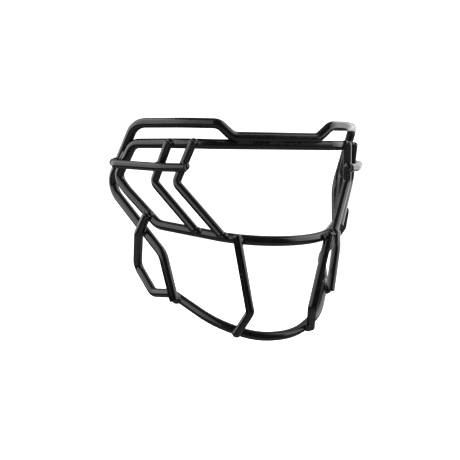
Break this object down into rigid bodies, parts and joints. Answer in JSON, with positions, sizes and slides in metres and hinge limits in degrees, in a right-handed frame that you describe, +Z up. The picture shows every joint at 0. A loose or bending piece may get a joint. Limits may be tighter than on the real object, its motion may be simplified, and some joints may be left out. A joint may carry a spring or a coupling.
{
  "type": "wire face guard",
  "caption": "Open wire face guard for a sports helmet: a brow wire, a closed eye port loop, a chin wire and short bars, welded where they cross and coated black.",
  "frame": {"origin": "on the centreline, in the middle of the brow wire's low run, where the helmet's front clip grips the guard", "axes": "+X towards the wearer's left, -Y forwards out of the face, +Z up"},
  "size_m": [0.2228, 0.118, 0.1692],
  "materials": {
    "frame_wire_coat": "black powder coat, semi-gloss",
    "bar_coat": "black powder coat, semi-gloss",
    "weld_coat": "black powder coat over a weld bead"
  },
  "bodies": {
    "root": {"brow_wire": "frame_wire_coat", "eye_port_loop": "frame_wire_coat", "chin_wire": "frame_wire_coat", "jaw_bar_left": "bar_coat", "jaw_bar_right": "bar_coat", "rear_cheek_bar_left": "bar_coat", "rear_cheek_bar_right": "bar_coat", "front_cheek_bar_left": "bar_coat", "front_cheek_bar_right": "bar_coat", "clip_bar_left": "bar_coat", "clip_bar_right": "bar_coat", "brow_tack_welds": "weld_coat", "temple_tack_welds": "weld_coat", "cheek_bar_top_welds": "weld_coat", "cheek_bar_foot_welds": "weld_coat", "clip_bar_front_welds": "weld_coat", "clip_bar_rear_welds": "weld_coat", "chin_wire_top_welds": "weld_coat", "chin_wire_crossing_welds": "weld_coat", "brow_wire_end_welds": "weld_coat", "jaw_bar_top_welds": "weld_coat", "jaw_bar_foot_welds": "weld_coat"}
  },
  "joints": []
}
